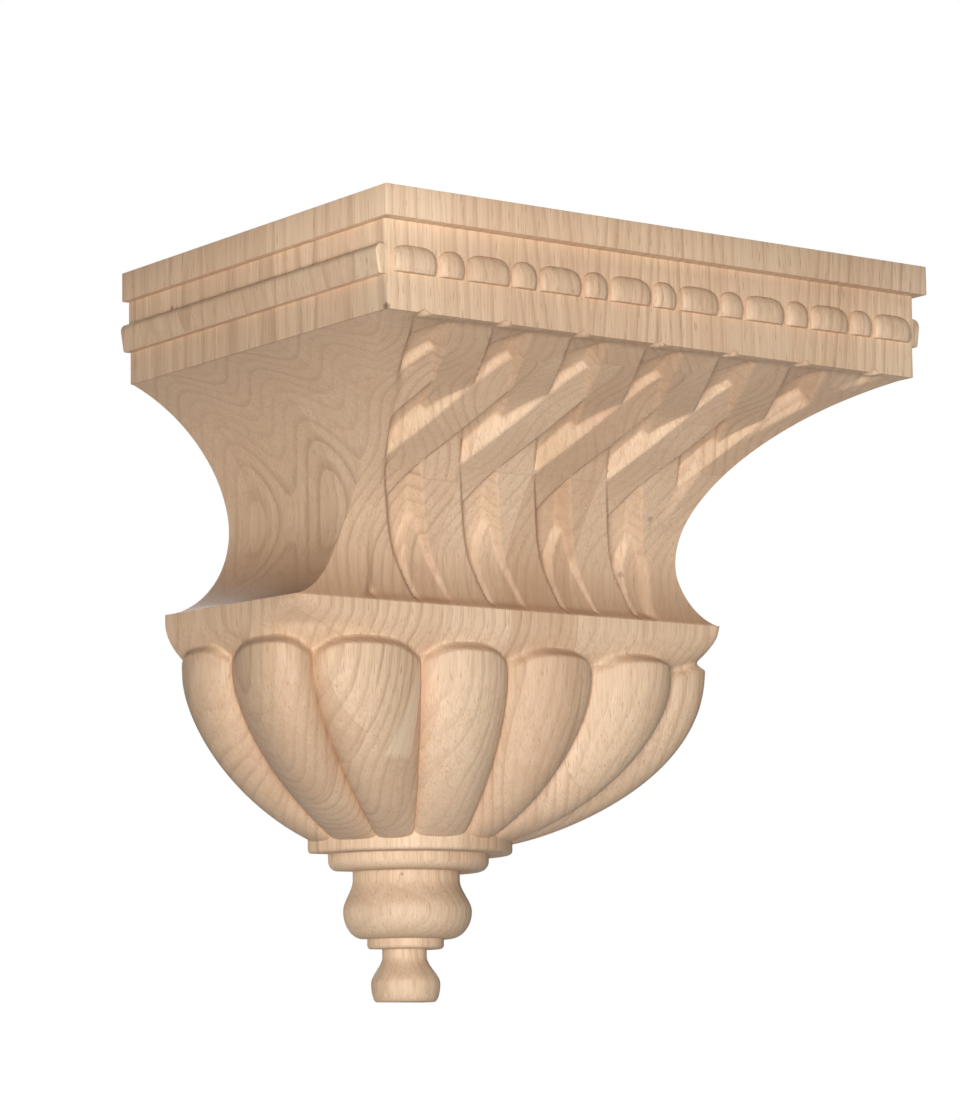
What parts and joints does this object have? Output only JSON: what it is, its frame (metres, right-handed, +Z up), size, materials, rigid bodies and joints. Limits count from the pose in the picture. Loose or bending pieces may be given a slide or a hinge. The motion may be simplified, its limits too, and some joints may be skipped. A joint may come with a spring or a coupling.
{
  "type": "wood corbel",
  "caption": "Carved wood corbel: stepped block with a bead and reel row, concave neck with a basket weave front, lobed half bowl below, turned half-round finial, flat back.",
  "frame": {"origin": "centre of the flat back, at half the height and half the width", "axes": "+X right as seen from the front, +Y into the wall (the front faces -Y), +Z up"},
  "size_m": [0.2096, 0.1461, 0.2286],
  "materials": {
    "wood": "unfinished, fine sanded"
  },
  "bodies": {
    "root": {"corbel": "wood"}
  },
  "joints": []
}
